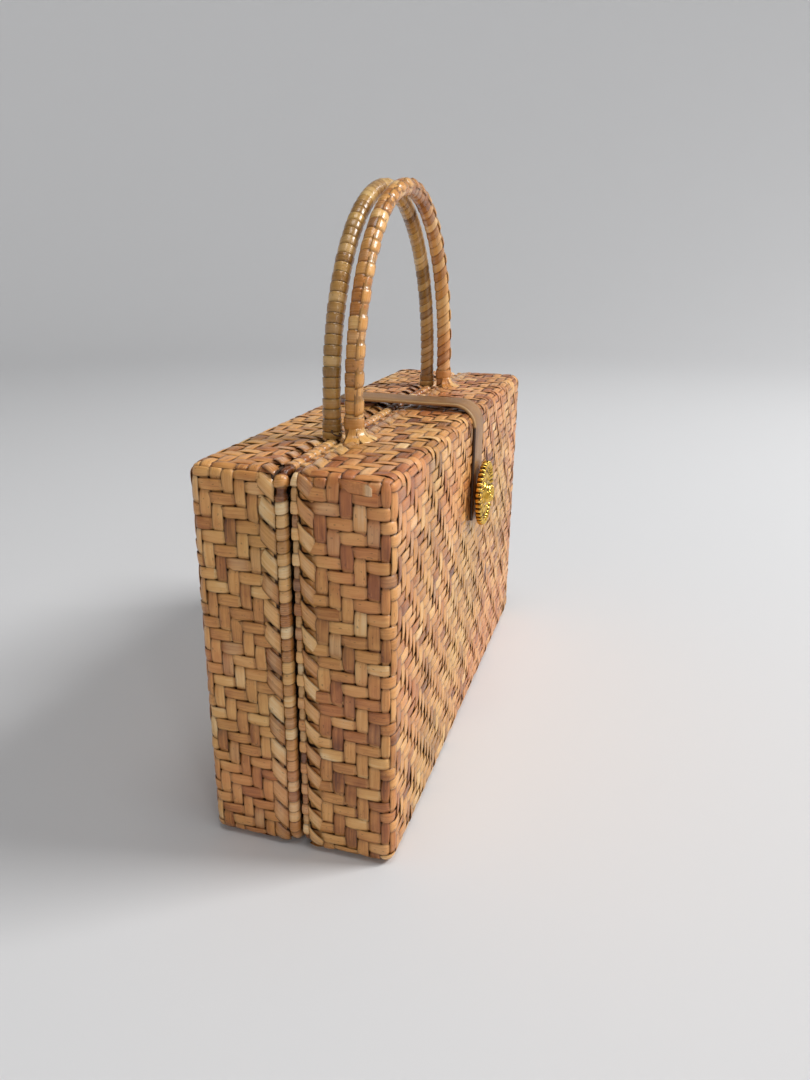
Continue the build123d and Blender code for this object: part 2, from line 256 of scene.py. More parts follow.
def curvePoint(tree, path, factor, value=1.0):
    # where a path is at a share of its length, which way it runs there, and a value kept on it
    line = add(tree, "GeometryNodeMeshToCurve", {"Mesh": path}).outputs[0]
    inputs = {"Curves": line, "Value": value, "Factor": factor}
    return add(tree, "GeometryNodeSampleCurve", inputs, mode="FACTOR", use_all_curves=True).outputs


def besideCurve(tree, spot, angle, radius):
    # a place round the path: y serves as its side, because all but the thin loop at the back handle's
    # foot lie in upright planes along x
    sideways = (0.0, 1.0, 0.0)
    outwards = vectorMath(tree, "NORMALIZE", vectorMath(tree, "CROSS_PRODUCT", spot["Tangent"], sideways))
    a = vectorMath(tree, "SCALE", sideways, scale=angle.calc("COSINE") * radius)
    b = vectorMath(tree, "SCALE", outwards, scale=angle.calc("SINE") * radius)
    return vectorMath(tree, "ADD", spot["Position"], vectorMath(tree, "ADD", a, b))


def bridge(bm, rings):
    for low, high in zip(rings, rings[1:]):
        for n in range(len(low)):
            bm.faces.new((low[n - 1], low[n], high[n], high[n - 1]))


def addRings(bm, rings, names, closed=True):
    # each point of a ring comes with the values of the named attributes
    layers = [bm.verts.layers.float.get(name) or bm.verts.layers.float.new(name) for name in names]
    made = []
    for ring in rings:
        made.append([])
        for point, *values in ring:
            vert = bm.verts.new(point)
            for layer, value in zip(layers, values):
                vert[layer] = value
            made[-1].append(vert)
    bridge(bm, made)
    if closed:
        bm.faces.new(made[0])
        bm.faces.new(made[-1])
    return made


def fan(bm, centre, ring):
    for n in range(len(ring)):
        bm.faces.new((centre, ring[n - 1], ring[n]))


def finishMesh(bm, name, turnOut=True):
    if turnOut:
        bmesh.ops.recalc_face_normals(bm, faces=bm.faces)
    mesh = bpy.data.meshes.new(name)
    bm.to_mesh(mesh)
    bm.free()
    return mesh


def clean(mesh):
    bm = bmesh.new()
    bm.from_mesh(mesh)
    bmesh.ops.dissolve_degenerate(bm, dist=0.001 * mm, edges=bm.edges)
    bmesh.ops.delete(bm, geom=[e for e in bm.edges if not e.link_faces], context="EDGES")
    bmesh.ops.delete(bm, geom=[v for v in bm.verts if not v.link_faces], context="VERTS")
    if bm.calc_volume(signed=True) < 0:
        bmesh.ops.reverse_faces(bm, faces=bm.faces)
    bm.to_mesh(mesh)
    bm.free()


def piece(name, mesh, body, material=None, smooth=True):
    mesh.name = name
    obj = bpy.data.objects.new(name, mesh)
    bpy.context.scene.collection.objects.link(obj)
    if material:
        mesh.materials.clear()
        mesh.materials.append(material)
    mesh.polygons.foreach_set("use_smooth", [smooth] * len(mesh.polygons))
    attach(obj, body)
    return obj


def grow(name, tree, values, material, body, slotName, path=None, smooth=True):
    # runs a tree on a path, keeps the result as a plain mesh and puts it on its body
    base = bpy.data.objects.new("base", path or bpy.data.meshes.new("base"))
    bpy.context.scene.collection.objects.link(base)
    modifier = base.modifiers.new("make", "NODES")
    modifier.node_group = tree
    settings = {**values, "Material": material}
    for item in tree.interface.items_tree:
        if item.in_out == "INPUT" and item.name in settings:
            modifier[item.identifier] = settings[item.name]
    bpy.context.view_layer.update()
    evaluated = base.evaluated_get(bpy.context.evaluated_depsgraph_get())
    mesh = bpy.data.meshes.new_from_object(evaluated)
    bpy.data.objects.remove(base)
    clean(mesh)
    print(name, len(mesh.polygons), "faces")
    return piece(name, mesh, body, smooth=smooth)


# Finishes

def startMaterial(name):
    material = bpy.data.materials.new(name)
    material.use_nodes = True
    return material, material.node_tree


def fill(tree, nodeName, **values):
    # sets or links a node's sockets, with _ for each space in their names
    for name, value in values.items():
        put(tree, value, tree.nodes[nodeName].inputs[name.replace("_", " ")])


def finish(tree, height, strength, relief, **values):
    # gives the shader its relief and its other values
    bump = add(tree, "ShaderNodeBump", {"Height": height, "Strength": strength, "Distance": relief})
    fill(tree, "Principled BSDF", Normal=bump.outputs[0], **values)


def attribute(tree, name):
    return Field(tree, add(tree, "ShaderNodeAttribute", attribute_name=name).outputs["Fac"])


def noise(tree, vector, scale, detail=2.0, roughness=0.5):
    inputs = {"Vector": vector, "Scale": scale, "Detail": detail, "Roughness": roughness}
    return Field(tree, add(tree, "ShaderNodeTexNoise", inputs).outputs["Fac"])


def ramp(tree, value, colours):
    node = add(tree, "ShaderNodeValToRGB", {"Fac": value})
    stops = node.color_ramp.elements
    while len(stops) < len(colours):
        stops.new(0.5)
    for stop, (at, colour) in zip(stops, colours):
        stop.position = at
        stop.color = (*colour, 1.0)
    return node.outputs["Color"]


def mix(tree, share, a, b, blend="MIX"):
    node = add(tree, "ShaderNodeMix", data_type="RGBA", blend_type=blend)
    colours = [s for s in node.inputs if s.type == "RGBA"]
    put(tree, share, node.inputs[0])
    for socket, value in zip(colours, (a, b)):
        put(tree, (*value, 1.0) if isinstance(value, tuple) else value, socket)
    return [s for s in node.outputs if s.type == "RGBA"][0]


def objectPoint(tree):
    return add(tree, "ShaderNodeTexCoord").outputs["Object"]


straw = {
    "fibres": (70.0, 2600.0),       # how often in a metre, along a strip and across it
    "streaks": (25.0, 700.0),
    "blotches": (70.0, 110.0),
    "specks": (450.0, 900.0),
    "patches": 13.0,
    "patchiness": 0.3,
    # the pale colour of the painted highlight on raised places
    "worn": (0.95, 0.68, 0.38),
    "coatRoughness": 0.2,
    "relief": 0.28 * mm,
}


def strawFinish(name, colours, blush, olive, gloss, coat):
    # colours run from the darkest strip to the palest one
    material, tree = startMaterial(name)
    along, across, tone, edge, deep, worn = (
        attribute(tree, name) for name in ("along", "across", "tone", "edge", "deep", "worn")
    )

    def onStrip(kind, shift, detail, roughness=0.5):
        often = straw[kind]
        point = joinXyz(tree, along * often[0], across * often[1], tone * shift)
        return noise(tree, point, 1.0, detail, roughness)

    fibres = onStrip("fibres", 70.0, 4.0, 0.6)
    streaks = onStrip("streaks", 13.0, 2.0)
    blotches = onStrip("blotches", 31.0, 3.0)
    specks = onStrip("specks", 11.0, 1.0)
    patches = noise(tree, objectPoint(tree), straw["patches"], 2.0)
    colour = ramp(tree, tone * 0.85 + blotches * 0.7 + streaks * 0.4 + fibres * 0.4 - 0.75, colours)
    colour = mix(tree, patches.eased(0.5, 0.64) * straw["patchiness"], colour, blush)
    colour = mix(tree, (1.0 - patches).eased(0.5, 0.64) * straw["patchiness"], colour, olive)
    # painted highlight: raised places turn pale as if catching the light
    colour = mix(tree, worn * (streaks * 0.9 + 0.1), colour, straw["worn"])
    # painted shade: each strip darker towards its edges, where strips meet, and darker where it sinks under
    # another; the dark specks are the straw's own
    shade = (1.0 - edge.eased(0.78, 1.0) * 0.5) * (1.0 - specks.eased(0.67, 0.75) * 0.4) * (1.0 - deep * 0.42)
    grey = add(tree, "ShaderNodeCombineColor", {"Red": shade, "Green": shade, "Blue": shade}).outputs[0]
    finish(
        tree, fibres + streaks * 0.5 + blotches * 0.6, 0.6, straw["relief"],
        Base_Color=mix(tree, 1.0, colour, grey, "MULTIPLY"),
        Roughness=fibres * 0.3 + blotches * 0.12 + (gloss - 0.2),
        Specular_IOR_Level=0.35, Coat_Weight=coat, Coat_Roughness=straw["coatRoughness"],
    )
    return material


# the near black edge colour is painted shadow
leather = {"clouds": 60.0, "cells": 1500.0, "edgeShadow": (0.03, 0.014, 0.006), "relief": 0.08 * mm}


def leatherFinish(name, low, high, gloss, litEdge=None):
    material, tree = startMaterial(name)
    point = objectPoint(tree)
    cloudy = noise(tree, point, leather["clouds"], 3.0)
    inputs = {"Vector": point, "Scale": leather["cells"]}
    cells = add(tree, "ShaderNodeTexVoronoi", inputs, feature="DISTANCE_TO_EDGE")
    grain = Field(tree, cells.outputs["Distance"]).eased(0.0, 0.25)
    colour = mix(tree, cloudy.eased(0.35, 0.65), low, high)
    if litEdge:
        edge = attribute(tree, "edge")       # above nought a pale edge of painted highlight, below it a dark edge of painted shadow
        colour = mix(tree, edge.eased(0.2, 0.9) * 0.75, colour, litEdge)
        colour = mix(tree, (-edge).eased(0.2, 0.9) * 0.9, colour, leather["edgeShadow"])
    roughness = cloudy * 0.2 + (gloss - 0.1)
    finish(tree, grain + cloudy, 0.25, leather["relief"], Base_Color=colour, Roughness=roughness)
    return material


metal = {"hollowShade": (0.02, 0.01, 0.004), "relief": 0.1 * mm}


def metalFinish(name, low, high, gloss, scale):
    # painted shade darkens the colour where the piece's "recess" attribute is high
    material, tree = startMaterial(name)
    wear = noise(tree, objectPoint(tree), scale, 4.0, 0.6)
    colour = mix(tree, wear.eased(0.38, 0.62), low, high)
    colour = mix(tree, attribute(tree, "recess").eased(0.25, 1.0) * 0.9, colour, metal["hollowShade"])
    roughness = wear * 0.25 + (gloss - 0.1)
    finish(tree, wear, 0.15, metal["relief"], Base_Color=colour, Roughness=roughness, Metallic=1.0)
    return material


cotton = {"threads": 5200.0, "clouds": 35.0, "relief": 0.1 * mm}


def clothFinish(name, low, high):
    material, tree = startMaterial(name)
    x, y, z = splitXyz(tree, objectPoint(tree))
    warp = ((x + z * 0.7) * cotton["threads"]).calc("SINE")
    weft = ((z - x * 0.7 + y * 1.3) * cotton["threads"]).calc("SINE")
    threads = warp * weft * 0.5 + 0.5
    cloudy = noise(tree, objectPoint(tree), cotton["clouds"], 3.0)
    colour = mix(tree, threads * 0.6 + cloudy * 0.4, low, high)
    finish(tree, threads, 0.5, cotton["relief"], Base_Color=colour, Roughness=0.9, Sheen_Weight=0.2)
    return material


def darkStraw(name, low, high):
    material, tree = startMaterial(name)
    cloudy = noise(tree, objectPoint(tree), 90.0, 4.0)
    finish(tree, cloudy, 0.4, 0.3 * mm, Base_Color=mix(tree, cloudy, low, high), Roughness=0.85)
    return material


bodyColours = [
    (0.0, (0.17, 0.048, 0.012)),
    (0.2, (0.42, 0.15, 0.038)),
    (0.46, (0.68, 0.31, 0.09)),
    (0.72, (0.84, 0.46, 0.16)),
    (1.0, (0.94, 0.7, 0.4)),
]
frontHandleColours = [
    (0.0, (0.2, 0.058, 0.011)),
    (0.3, (0.47, 0.18, 0.04)),
    (0.65, (0.7, 0.33, 0.085)),
    (1.0, (0.86, 0.53, 0.2)),
]
backHandleColours = [
    (0.0, (0.14, 0.058, 0.013)),
    (0.35, (0.38, 0.19, 0.048)),
    (0.7, (0.57, 0.32, 0.09)),
    (1.0, (0.76, 0.5, 0.19)),
]
strawLooks = {
    "lacqueredStraw": {
        "colours": bodyColours, "blush": (0.82, 0.28, 0.11), "olive": (0.56, 0.36, 0.095),
        "gloss": 0.38, "coat": 0.25,
    },
    "borderStraw": {
        "colours": bodyColours, "blush": (0.78, 0.32, 0.15), "olive": (0.54, 0.34, 0.095),
        "gloss": 0.25, "coat": 0.55,
    },
    "orangeWrapStraw": {
        "colours": frontHandleColours, "blush": (0.74, 0.28, 0.07), "olive": (0.54, 0.3, 0.07),
        "gloss": 0.25, "coat": 0.6,
    },
    "oliveWrapStraw": {
        "colours": backHandleColours, "blush": (0.52, 0.26, 0.07), "olive": (0.4, 0.26, 0.065),
        "gloss": 0.22, "coat": 0.6,
    },
}
bodyStraw, borderStraw, frontHandleStraw, backHandleStraw = (
    strawFinish(name, **look) for name, look in strawLooks.items()
)
innerStraw = darkStraw("shadedStraw", (0.03, 0.014, 0.006), (0.1, 0.05, 0.022))
liningCloth = clothFinish("liningCotton", (0.46, 0.37, 0.25), (0.64, 0.54, 0.4))
khaki = ((0.22, 0.105, 0.036), (0.34, 0.175, 0.066))
strapLeather = leatherFinish("khakiLeather", *khaki, gloss=0.42, litEdge=(0.56, 0.35, 0.15))
tabLeather = leatherFinish("russetLeather", (0.2, 0.06, 0.025), (0.32, 0.11, 0.045), 0.4)
gilt = metalFinish("gilt", (0.6, 0.33, 0.045), (0.9, 0.58, 0.13), 0.16, 240.0)
dullBrass = metalFinish("dullBrass", (0.4, 0.28, 0.11), (0.6, 0.45, 0.2), 0.42, 300.0)
dullSteel = metalFinish("dullSteel", (0.3, 0.29, 0.27), (0.5, 0.49, 0.46), 0.4, 300.0)
print("finishes ready")


# The woven trays

weave = {
    "samples": 4,               # along a strip, for each strip it crosses
    "sides": 8,
    "fill": 0.49,               # half a strip's width, as a share of the pitch
    "widths": (0.93, 1.04),     # from strip to strip
    "pinch": 0.22,              # how much narrower a strip is where it goes under
    "crown": 0.26 * mm,
    "lift": 0.38 * mm,
    "middle": -0.6 * mm,
    "wobble": 0.45 * mm,
    "tilt": 0.28 * mm,
    "puff": (-0.1 * mm, 0.16 * mm),
    "tuck": 1.3,                # an end goes in behind the border this many lifts below the middle
    "seed": 5,
}


def twill(phase):
    # up over two strips, then down under two: how high a strip lies, and how far under it has gone
    fromTop = ((phase + 1.0) % 4.0 - 2.0).size()
    return 1.0 - fromTop.eased(0.3, 1.6) * 2.0, fromTop.eased(0.7, 1.2)


def ringPhase(p, strip):
    # the step of the twill along a ring strip, which each side of the tray takes up in its own direction
    columns, rows = bag["columns"], bag["rows"]
    onTop = p.calc("LESS_THAN", columns)
    onRight = p.calc("LESS_THAN", columns + rows) - onTop
    onBase = p.calc("LESS_THAN", 2 * columns + rows) - onTop - onRight
    onLeft = 1.0 - onTop - onRight - onBase
    phase = onTop * (p + 1.0 + strip) + onRight * (p - (2.0 * columns + 1.0) - strip)
    return phase + onBase * (2.0 * columns - p - strip) + onLeft * (float(stakes) - p + strip)


def weaveTree(kind):
    columns, rows, weavers = bag["columns"], bag["rows"], bag["weavers"]
    samples, sides = weave["samples"], weave["sides"]
    tree, given = startTree(kind, {"Turn": 1.0, "Lip": 0.0, "Width share": 0.475, "Seed": 1})
    counts = {
        "upright": (columns, rows + 2 * weavers + 2),
        "level": (rows, columns + 2 * weavers + 2),
        "weaver": (weavers, stakes),
    }
    strips, crossings = counts[kind]
    real, count, isOpen, turn, strip = gridOfStrips(tree, strips, crossings * samples, sides)
    seed = given["Seed"]
    wallStep = (bag["depth"] - bag["border"] - given["Lip"]) / weavers
    pitch = {"upright": columnStep, "level": rowStep, "weaver": wallStep}[kind]
    along = count / samples
    if kind == "weaver":
        p = (along + (2 * columns + rows / 2 - columns / 2)) % float(stakes)
        phase = ringPhase(p, strip)
    else:
        q = along - (weavers + 1.0)
        middle = rows if kind == "upright" else columns
        before, after = (q * -1.0).within(0.0, 99.0), (q - middle).within(0.0, 99.0)
        phase = q - strip - 1.0 if kind == "upright" else q - strip
    lift, under = twill(phase)
    width = chance(tree, *weave["widths"], strip, seed + 1)
    half = given["Width share"] * pitch * width * (1.0 - under * weave["pinch"])
    half = half * (noise(tree, joinXyz(tree, along * 0.7, strip * 5.1, seed * 1.7), 1.0, 1.0) * 0.3 + 0.85)
    side, above = ovalSection(turn, sides, isOpen)
    drift = noise(tree, joinXyz(tree, along * 0.5, strip * 7.3, seed * 3.1), 1.0, 1.0) - 0.5
    sideways = side * half + drift * (2 * weave["wobble"])
    if kind == "weaver":
        x, z = perimeterPoint(p)
        depth = bag["depth"] - (strip + 0.5) * wallStep + sideways
        travelled = along * columnStep
    else:
        step = rowStep if kind == "upright" else columnStep
        depth = bag["depth"] - (before + after) * wallStep
        here = q.within(0.0, middle) * step
        centre = (strip + 0.5) * pitch + sideways
        if kind == "upright":
            x, z = centre - bag["width"] / 2, bag["height"] - here
        else:
            x, z = here - bag["width"] / 2, bag["height"] - centre
        travelled = here + (after - before) * wallStep
        past = (before + after - weavers).within(0.0, 1.0).eased(0.0, 0.6)
        lift = lift - past * (lift + weave["tuck"])
    floatNumber = (phase * 0.5).calc("FLOOR") + strip * 53.0
    tilt = side * chance(tree, -weave["tilt"], weave["tilt"], floatNumber, seed + 2)
    puff = chance(tree, *weave["puff"], floatNumber, seed + 3)
    height = weave["middle"] + lift * weave["lift"] + above * weave["crown"] + tilt + puff
    placed = place(tree, real, settle(tree, x, depth, z, height, given))
    stripTone = chance(tree, 0.1, 0.9, strip, seed + 4)
    placed = store(
        # the edge and sinking values become painted shade in the straw finish
        tree, placed, along=travelled, across=side * half, edge=side.size(), deep=under,
        tone=stripTone * 0.45 + chance(tree, 0.0, 1.0, floatNumber, seed + 5) * 0.55,
        # a painted highlight on some of the floats that lie on top
        worn=chance(tree, -3.0, 0.5, floatNumber, seed + 6).within(0.0, 0.5) * lift.within(0.0, 1.0),
    )
    endTree(tree, placed, given)
    return tree


weaveTrees = {kind: weaveTree(kind) for kind in ("upright", "level", "weaver")}
for n, (half, facts) in enumerate(halves.items()):
    for m, (kind, tree) in enumerate(weaveTrees.items()):
        values = {
            "Turn": facts["turn"], "Lip": facts["lip"], "Width share": weave["fill"],
            "Seed": weave["seed"] + 40 * n + 9 * m,
        }
        woven = grow(f"{half}_{kind}_strips", tree, values, bodyStraw, facts["body"], "straw_body")
        if kind == "upright":
            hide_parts(f"{half}_shell")


# Slanted strips along each lip

border = {
    "lean": 7.0 * mm, "halfWidth": 4.75 * mm, "widths": (0.92, 1.04), "crown": 0.34 * mm, "tilt": 0.5 * mm,
    "arch": 0.75 * mm, "sunk": 0.85 * mm, "uneven": 0.1 * mm, "overlap": 0.5 * mm,
    "bareDrop": 1.1 * mm, "footRoom": 2.5 * mm, "near": 2 * mm, "samples": 8, "sides": 8, "seed": 21,
}


def borderTree():
    tree, given = startTree("slantedBorder", {"Turn": 1.0, "Lip": 0.0, "Seed": 1})
    samples, sides = border["samples"], border["sides"]
    real, count, isOpen, turn, strip = gridOfStrips(tree, stakes // 2, samples, sides)
    seed = given["Seed"]
    t = count / samples
    side, above = ovalSection(turn, sides, isOpen)
    reach = t * (bag["border"] + 2 * border["overlap"]) - border["overlap"]
    wide = border["halfWidth"] * chance(tree, *border["widths"], strip, seed)
    p = strip * 2.0 + 1.0 + ((t - 0.5) * -border["lean"] + side * wide) / columnStep
    x, z = perimeterPoint(p % float(stakes))
    fromMiddle = t * 2.0 - 1.0
    arch = 1.0 - fromMiddle * fromMiddle
    height = arch * border["arch"] - border["sunk"] + side * border["tilt"] + above * border["crown"]
    height = height + chance(tree, -border["uneven"], border["uneven"], strip, seed + 1)
    onBase = z.calc("LESS_THAN", border["near"])
    onTop = z.calc("GREATER_THAN", bag["height"] - border["near"])
    places = [(at, bag["hingeRoom"], onBase) for at in bag["hingesX"]]
    places += [(at, border["footRoom"], onTop) for at in bag["feetX"]]
    worldX = x * given["Turn"]
    bare = sum((worldX - at).size().calc("LESS_THAN", room) * level for at, room, level in places)
    height = height - bare.within(0.0, 1.0) * border["bareDrop"]
    placed = place(tree, real, settle(tree, x, given["Lip"] + reach, z, height, given))
    # a painted highlight along the crest of each strip's arch
    crest = arch.eased(0.6, 1.0) * (1.0 - side.size().eased(0.2, 0.9))
    placed = store(
        # the edges and both ends of each strip, where it sinks under the cord and the weave, get painted
        # shade in the straw finish
        tree, placed, along=reach + strip * 0.01, across=side * wide, edge=side.size(),
        deep=fromMiddle.size().eased(0.75, 1.0), tone=chance(tree, 0.2, 0.95, strip, seed + 2),
        worn=crest * chance(tree, 0.0, 0.8, strip, seed + 3),
    )
    endTree(tree, placed, given)
    return tree


borderStrips = borderTree()
for n, (half, facts) in enumerate(halves.items()):
    values = {"Turn": facts["turn"], "Lip": facts["lip"], "Seed": border["seed"] + 10 * n}
    grow(f"{half}_slanted_border", borderStrips, values, borderStraw, facts["body"], "straw_body")
print("trays woven")


# Strips wound round a path: the handles, their feet and the two lips

winding = {"samples": 7, "crowding": 0.78, "shake": 0.06, "uneven": 0.12 * mm}


def woundTree():
    tree, given = startTree("woundStrip", {
        "Windings": 10, "Radius": 0.004, "Step": 0.0003, "Notch": 0.0003, "Crown": 0.0002, "Slant": 1.0,
        "Square": 0.0, "Closed": 0.0, "Alternate": 0.0, "Sides": 16, "Seed": 1,
    })
    samples = winding["samples"]
    windings, sides, seed = given["Windings"], given["Sides"], given["Seed"]
    real, count, isOpen, turn, _ = gridOfStrips(tree, 1, windings * samples, sides)
    number = ((count + 0.01) / samples).calc("FLOOR")
    f = count / samples - number
    # the steps come closer near each edge of a winding
    within = f - (f * fullTurn).calc("SINE") * (winding["crowding"] / fullTurn)
    fromMiddle = (within * 2.0 - 1.0).size()
    share = turn / sides
    angle = share * fullTurn
    shift = share.eased(0.45, 0.95) * given["Slant"]
    shake = chance(tree, -winding["shake"], winding["shake"], number, seed + 1)
    position = (number + within + shift + shake * (1.0 - fromMiddle)) / windings
    factor = position % 1.0 * given["Closed"] + position.within(0.0, 1.0) * (1.0 - given["Closed"])
    spot = curvePoint(tree, given["Geometry"], factor, named(tree, "keep"))
    keep = Field(tree, spot["Value"])      # how much of the full size is left at this point of the path
    c, s = angle.calc("COSINE"), angle.calc("SINE")
    power = given["Square"] * 5.0 + 2.0
    rounding = c.size().calc("POWER", power) + s.size().calc("POWER", power)
    squared = rounding.calc("POWER", -power.calc("POWER", -1.0))
    swell = within * (1.0 - within) * 4.0
    notch = 1.0 - within.eased(0.0, 0.07) * (1.0 - within.eased(0.93, 1.0))
    uneven = chance(tree, -winding["uneven"], winding["uneven"], number, seed + 2)
    odd = number % 2.0
    radius = given["Radius"] + swell * given["Crown"] - (1.0 - within) * given["Step"]
    radius = radius - notch * given["Notch"] + uneven * swell - odd * given["Alternate"]
    radius = radius * squared * isOpen * keep
    placed = place(tree, real, besideCurve(tree, spot, angle, radius))
    placed = store(
        # the edges of each winding, and every other winding where it sits lower, get painted shade in the
        # straw finish
        tree, placed, along=angle * given["Radius"], across=within * 0.005, edge=fromMiddle,
        deep=odd * (given["Alternate"] * 1400.0).within(0.0, 1.0),
        # the tone follows the winding's size: a shrunk winding turns darker, as painted shade for the gap it
        # leaves, and a swollen one paler
        tone=chance(tree, 0.15, 1.0, number, seed + 3) + (keep - 1.0).within(-0.2, 0.2) * 3.0,
        # a painted highlight on the crown of some windings
        worn=swell * swell * chance(tree, -0.4, 0.5, number, seed + 4).within(0.0, 0.5),
    )
    endTree(tree, placed, given)
    return tree


def pathMesh(points, keep=None, closed=False):
    mesh = bpy.data.meshes.new("path")
    edges = [(n, n + 1) for n in range(len(points) - 1)]
    if closed:
        edges.append((len(points) - 1, 0))
    mesh.from_pydata([tuple(p) for p in points], edges, [])
    layer = mesh.attributes.new("keep", "FLOAT", "POINT")
    layer.data.foreach_set("value", keep or [1.0] * len(points))
    return mesh


handle = {
    "centreX": -2 * mm, "halfSpan": 85 * mm, "springZ": 200 * mm, "rise": 98 * mm, "fromParting": 5.5 * mm,
    "footZ": 183.4 * mm, "radius": 4.35 * mm, "archSteps": 96, "legSteps": 6,
}


def handleY(half):
    return bag["partingY"] - halves[half]["turn"] * handle["fromParting"]


def handlePoints(half):
    y = handleY(half)
    foot, spring = handle["footZ"], handle["springZ"]
    left, right = bag["feetX"]
    leg = [foot + (spring - foot) * n / handle["legSteps"] for n in range(handle["legSteps"])]
    points = [Vector((left, y, z)) for z in leg]
    for n in range(handle["archSteps"] + 1):
        turn = math.pi - math.pi * n / handle["archSteps"]
        x = handle["centreX"] + handle["halfSpan"] * math.cos(turn)
        points.append(Vector((x, y, spring + handle["rise"] * math.sin(turn))))
    return points + [Vector((right, y, z)) for z in reversed(leg)]


wound = woundTree()
wraps = {
    "front": {
        "material": frontHandleStraw, "windings": 52, "step": 0.3 * mm, "slot": "straw_front_handle",
        "band": (188.3, 194.3), "bandTurns": 1, "bandRadius": 4.85 * mm,
    },
    "back": {
        "material": backHandleStraw, "windings": 68, "step": 0.36 * mm, "slot": "straw_back_handle",
        "band": (183.4, 190.4), "bandTurns": 2, "bandRadius": 4.7 * mm,
    },
}
for n, (half, facts) in enumerate(wraps.items()):
    shared = {"material": facts["material"], "body": halves[half]["body"], "slotName": facts["slot"]}
    values = {
        "Windings": facts["windings"], "Radius": handle["radius"], "Step": facts["step"], "Notch": 0.24 * mm,
        "Crown": 0.1 * mm, "Slant": 1.0, "Sides": 18, "Seed": 60 + n,
    }
    wrap = grow(f"{half}_handle_windings", wound, values, path=pathMesh(handlePoints(half)), **shared)
    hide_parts(f"{half}_handle_wrap", f"{half}_handle_core")
    low, high = facts["band"]
    for side, footX in zip(("left", "right"), bag["feetX"]):
        foot = [Vector((footX, handleY(half), (low + (high - low) * k / 6) * mm)) for k in range(7)]
        values = {
            "Windings": facts["bandTurns"], "Radius": facts["bandRadius"], "Step": 0.15 * mm,
            "Notch": 0.25 * mm, "Crown": 0.1 * mm, "Slant": 0.0, "Sides": 18, "Seed": 70 + n,
        }
        band = grow(f"{half}_foot_band_{side}", wound, values, path=pathMesh(foot), **shared)
        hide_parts(f"{half}_handle_binding_{side}")


# The strip laced along the front handle, over every other winding, and the strip ends that spread at its feet

lacing = {
    "angle": math.radians(150), "halfWidth": 2.8 * mm, "widths": (0.9, 1.05), "rise": 0.36 * mm,
    "crown": 0.28 * mm, "skew": 0.12, "clear": 0.08 * mm, "samples": 8, "sides": 8, "seed": 91,
}


def lacingTree():
    tree, given = startTree("lacedStrip", {"Windings": 10, "Radius": 0.0045, "Seed": 1})
    samples, sides = lacing["samples"], lacing["sides"]
    real, count, isOpen, turn, _ = gridOfStrips(tree, 1, given["Windings"] * samples, sides)
    windings = count / samples
    q = windings % 2.0
    number = (windings * 0.5).calc("FLOOR")
    up = (q * (1.0 - q) * 7.0).within(-1.0, 1.0)
    side, above = ovalSection(turn, sides, isOpen)
    half = chance(tree, *lacing["widths"], number, given["Seed"]) * lacing["halfWidth"]
    radius = given["Radius"] + up * lacing["rise"] + above * lacing["crown"]
    factor = ((windings + side * lacing["skew"]) / given["Windings"]).within(0.0, 1.0)
    spot = curvePoint(tree, given["Geometry"], factor)
    angle = side * half / given["Radius"] + lacing["angle"]
    placed = place(tree, real, besideCurve(tree, spot, angle, radius))
    placed = store(
        # the edges of the laced strip, and where it dips under the windings, get painted shade in the straw
        # finish
        tree, placed, along=windings * 0.006, across=side * half, edge=side.size() * 0.9,
        deep=1.0 - up.within(0.0, 1.0), tone=chance(tree, 0.4, 1.0, number, given["Seed"] + 1),
    )
    endTree(tree, placed, given)
    return tree


values = {
    "Windings": wraps["front"]["windings"], "Radius": handle["radius"] + lacing["clear"],
    "Seed": lacing["seed"],
}
laced = grow(
    "front_handle_laced_strip", lacingTree(), values, frontHandleStraw, "front_half", "straw_front_handle",
    pathMesh(handlePoints("front")),
)
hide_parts("front_handle_lacing")

ribbon = {
    "halfThickness": 0.24 * mm, "step": 0.002,
    "section": [(-1.0, -0.4), (-0.7, 0.6), (0.0, 1.0), (0.7, 0.6), (1.0, -0.4), (0.7, -1.0), (-0.7, -1.0)],
}


def ribbons(strips):
    # flat strips as one mesh: each is rows of centre, half its width, sideways, upwards and tone
    bm = bmesh.new()
    for rows in strips:
        rings = []
        for k, (centre, half, sideways, upwards, tone) in enumerate(rows):
            rings.append([])
            for a, b in ribbon["section"]:
                point = centre + sideways * (half * a) + upwards * (ribbon["halfThickness"] * b)
                # the edge value becomes painted shade along the strip's edges in the straw finish
                rings[-1].append((point, k * ribbon["step"], half * a, abs(a), tone))
        addRings(bm, rings, ("along", "across", "edge", "tone"))
    return finishMesh(bm, "ribbons")


fans = {
    "profile": [        # how far out, how high, and half the strip's width, in millimetres
        (4.2, 190.0, 1.9), (4.6, 188.4, 2.2), (5.3, 186.7, 2.8), (6.6, 185.3, 3.4), (8.4, 184.7, 3.8),
        (10.2, 184.0, 3.9), (11.0, 183.4, 3.8),
    ],
    "angles": {"left": (192, 238, 285, 330), "right": (348, 302, 255, 210)},
    "tones": (0.75, 1.0, 1.3, 0.5),
}


def fanStrips(side, footX):
    strips = []
    for degrees, tone in zip(fans["angles"][side], fans["tones"]):
        turn = math.radians(degrees)
        out = Vector((math.cos(turn), math.sin(turn), 0))
        sideways = Vector((-math.sin(turn), math.cos(turn), 0))
        points = [Vector((footX, handleY("front"), z * mm)) + out * (r * mm) for r, z, _ in fans["profile"]]
        rows = []
        for k, (point, (_, _, halfWidth)) in enumerate(zip(points, fans["profile"])):
            ahead = points[min(k + 1, len(points) - 1)] - points[max(k - 1, 0)]
            upwards = sideways.cross(ahead).normalized()
            upwards = upwards if upwards.dot(out) + upwards.z > 0 else -upwards
            rows.append((point, halfWidth * mm, sideways, upwards, tone))
        strips.append(rows)
    return strips


for side, footX in zip(("left", "right"), bag["feetX"]):
    mesh = ribbons(fanStrips(side, footX))
    piece(f"front_foot_fan_{side}", mesh, "front_half", frontHandleStraw)

